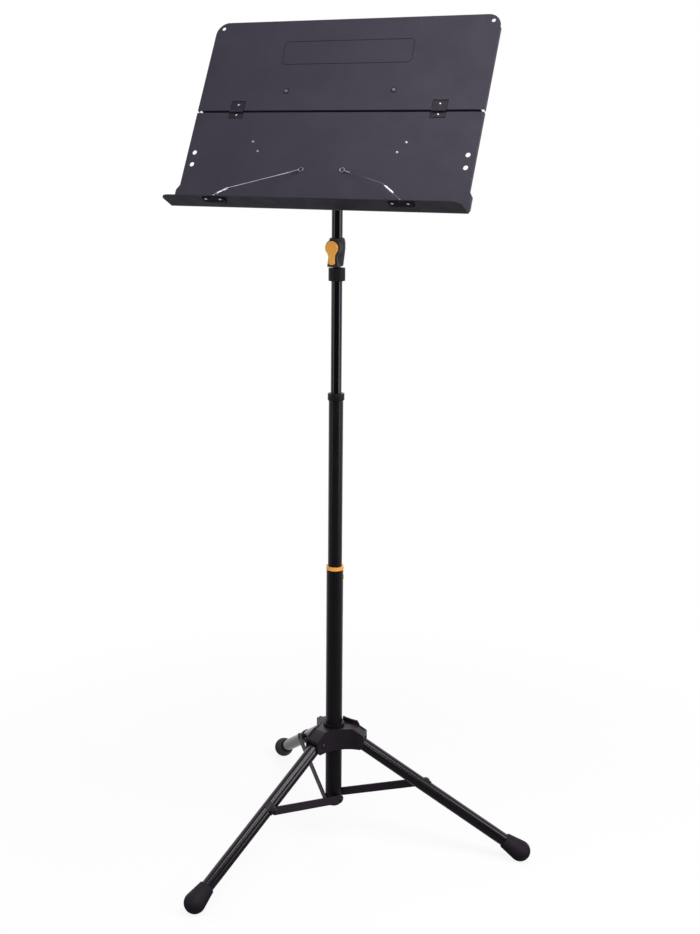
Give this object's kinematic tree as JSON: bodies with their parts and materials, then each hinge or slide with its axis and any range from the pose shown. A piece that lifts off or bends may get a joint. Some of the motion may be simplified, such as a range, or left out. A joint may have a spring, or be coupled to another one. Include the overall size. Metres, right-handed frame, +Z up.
{
  "type": "music stand",
  "caption": "Folding orchestra music stand: two-panel sheet-metal desk with page holders on a telescopic shaft and folding tripod.",
  "frame": {"origin": "the floor under the shaft axis, midway between the three feet", "axes": "+Z up the shaft, -Y the way the desk faces, +X to the right of a person reading from it"},
  "size_m": [0.6038, 0.6133, 1.4306],
  "materials": {
    "tube_paint": "gloss black enamel on steel tube",
    "desk_paint": "fine satin powder coat, dark grey with a violet cast",
    "bracket_paint": "satin black paint",
    "black_plastic": "fine-grained moulded black",
    "hub_casting": "moulded black with a light grain",
    "orange_plastic": "golden orange moulding",
    "rubber": "matt black rubber",
    "black_screw": "blackened steel",
    "zinc_steel": "bright zinc plate",
    "wire_steel": "bright drawn wire"
  },
  "bodies": {
    "shaft": {"lower_tube": "tube_paint", "bottom_plug": "black_plastic", "strut_pins": "black_screw", "shaft_ring": "orange_plastic"},
    "hub": {"hub": "hub_casting", "hub_bush": "black_plastic", "leg_bolts": "black_screw", "leg_nuts": "black_screw"},
    "leg_a": {"leg_tube_a": "tube_paint", "leg_head_a": "black_plastic", "leg_clip_a": "bracket_paint", "foot_a": "rubber"},
    "leg_b": {"leg_tube_b": "tube_paint", "leg_head_b": "black_plastic", "leg_clip_b": "bracket_paint", "foot_b": "rubber"},
    "leg_c": {"leg_tube_c": "tube_paint", "leg_head_c": "black_plastic", "leg_clip_c": "bracket_paint", "foot_c": "rubber"},
    "strut_a": {"strut_a": "bracket_paint", "strut_rivet_a": "zinc_steel"},
    "strut_b": {"strut_b": "bracket_paint", "strut_rivet_b": "zinc_steel"},
    "strut_c": {"strut_c": "bracket_paint", "strut_rivet_c": "zinc_steel"},
    "middle": {"middle_tube": "tube_paint", "middle_collar": "black_plastic", "middle_foot_bush": "black_plastic"},
    "upper": {"upper_tube": "tube_paint", "upper_collar": "black_plastic", "upper_foot_bush": "black_plastic", "spigot": "zinc_steel"},
    "neck": {"clamp_body": "black_plastic", "clamp_screw": "zinc_steel", "neck_tube": "tube_paint", "tilt_barrel": "black_plastic"},
    "lever": {"clamp_lever": "orange_plastic"},
    "desk": {"desk_bracket": "bracket_paint", "bracket_rivets": "zinc_steel", "tilt_bolt": "zinc_steel", "tilt_nut": "zinc_steel", "lower_panel": "desk_paint", "lower_hinge_leaves": "bracket_paint", "hinge_pins": "zinc_steel", "lower_leaf_rivets": "zinc_steel", "holder_brackets": "bracket_paint", "holder_bracket_rivets": "zinc_steel"},
    "desk_top": {"upper_panel": "desk_paint", "upper_hinge_leaves": "bracket_paint", "upper_leaf_rivets": "zinc_steel", "lock_rivets": "zinc_steel"},
    "lock_left": {"lock_bar_left": "zinc_steel"},
    "lock_right": {"lock_bar_right": "zinc_steel"},
    "holder_left": {"page_holder_left": "wire_steel", "holder_spring_left": "wire_steel"},
    "holder_right": {"page_holder_right": "wire_steel", "holder_spring_right": "wire_steel"}
  },
  "joints": [
    {"name": "hub_slide", "type": "slide", "parent": "shaft", "child": "hub", "axis": [0, 0, 1], "range_m": [0, 0.19381]},
    {"name": "leg_a_fold", "type": "hinge", "parent": "hub", "child": "leg_a", "pos_m": [-0.01365, -0.03877, 0.1988], "axis": [0.9432, -0.3322, 0], "range_deg": [0, 58.72]},
    {"name": "leg_b_fold", "type": "hinge", "parent": "hub", "child": "leg_b", "pos_m": [0.0404, 0.00756, 0.1988], "axis": [-0.184, 0.9829, 0], "range_deg": [0, 58.72]},
    {"name": "leg_c_fold", "type": "hinge", "parent": "hub", "child": "leg_c", "pos_m": [-0.02675, 0.03121, 0.1988], "axis": [-0.7593, -0.6508, 0], "range_deg": [0, 58.72]},
    {"name": "strut_a_fold", "type": "hinge", "parent": "shaft", "child": "strut_a", "pos_m": [0, 0, 0.0806], "axis": [-0.9432, 0.3322, 0], "range_deg": [0, 61.76]},
    {"name": "strut_b_fold", "type": "hinge", "parent": "shaft", "child": "strut_b", "pos_m": [0, 0, 0.0806], "axis": [0.184, -0.9829, 0], "range_deg": [0, 61.76]},
    {"name": "strut_c_fold", "type": "hinge", "parent": "shaft", "child": "strut_c", "pos_m": [0, 0, 0.0806], "axis": [0.7593, 0.6508, 0], "range_deg": [0, 61.76]},
    {"name": "middle_slide", "type": "slide", "parent": "shaft", "child": "middle", "axis": [0, 0, 1], "range_m": [-0.289, 0.07]},
    {"name": "upper_slide", "type": "slide", "parent": "middle", "child": "upper", "axis": [0, 0, 1], "range_m": [-0.187, 0.16]},
    {"name": "neck_swivel", "type": "hinge", "parent": "upper", "child": "neck", "pos_m": [0, 0, 1.0395], "axis": [0, 0, 1], "continuous": true},
    {"name": "lever_turn", "type": "hinge", "parent": "neck", "child": "lever", "pos_m": [0, -0.022, 1.0705], "axis": [0, -1, 0], "range_deg": [0, 90]},
    {"name": "desk_tilt", "type": "hinge", "parent": "neck", "child": "desk", "pos_m": [0, 0, 1.22], "axis": [-1, 0, 0], "range_deg": [-29, 61]},
    {"name": "desk_fold", "type": "hinge", "parent": "desk", "child": "desk_top", "pos_m": [0, -0.01612, 1.28622], "axis": [1, 0, 0], "range_deg": [0, 165]},
    {"name": "lock_left_turn", "type": "hinge", "parent": "desk_top", "child": "lock_left", "pos_m": [-0.093, 0.01099, 1.31326], "axis": [0, -0.8746, 0.4848], "range_deg": [0, 90]},
    {"name": "lock_right_turn", "type": "hinge", "parent": "desk_top", "child": "lock_right", "pos_m": [0.093, 0.01099, 1.31326], "axis": [0, 0.8746, -0.4848], "range_deg": [0, 90]},
    {"name": "holder_left_swing", "type": "hinge", "parent": "desk", "child": "holder_left", "pos_m": [-0.1575, -0.13489, 1.15387], "axis": [0, 0.4337, 0.9011], "range_deg": [-105, 0]},
    {"name": "holder_right_swing", "type": "hinge", "parent": "desk", "child": "holder_right", "pos_m": [0.1575, -0.13489, 1.15387], "axis": [0, -0.4337, -0.9011], "range_deg": [-105, 0]}
  ],
  "couplings": [
    {"joint": "leg_a_fold", "follows": "hub_slide", "rad_per_m": 5.2869},
    {"joint": "leg_b_fold", "follows": "hub_slide", "rad_per_m": 5.2869},
    {"joint": "leg_c_fold", "follows": "hub_slide", "rad_per_m": 5.2869},
    {"joint": "strut_a_fold", "follows": "hub_slide", "rad_per_m": 5.5607},
    {"joint": "strut_b_fold", "follows": "hub_slide", "rad_per_m": 5.5607},
    {"joint": "strut_c_fold", "follows": "hub_slide", "rad_per_m": 5.5607}
  ]
}
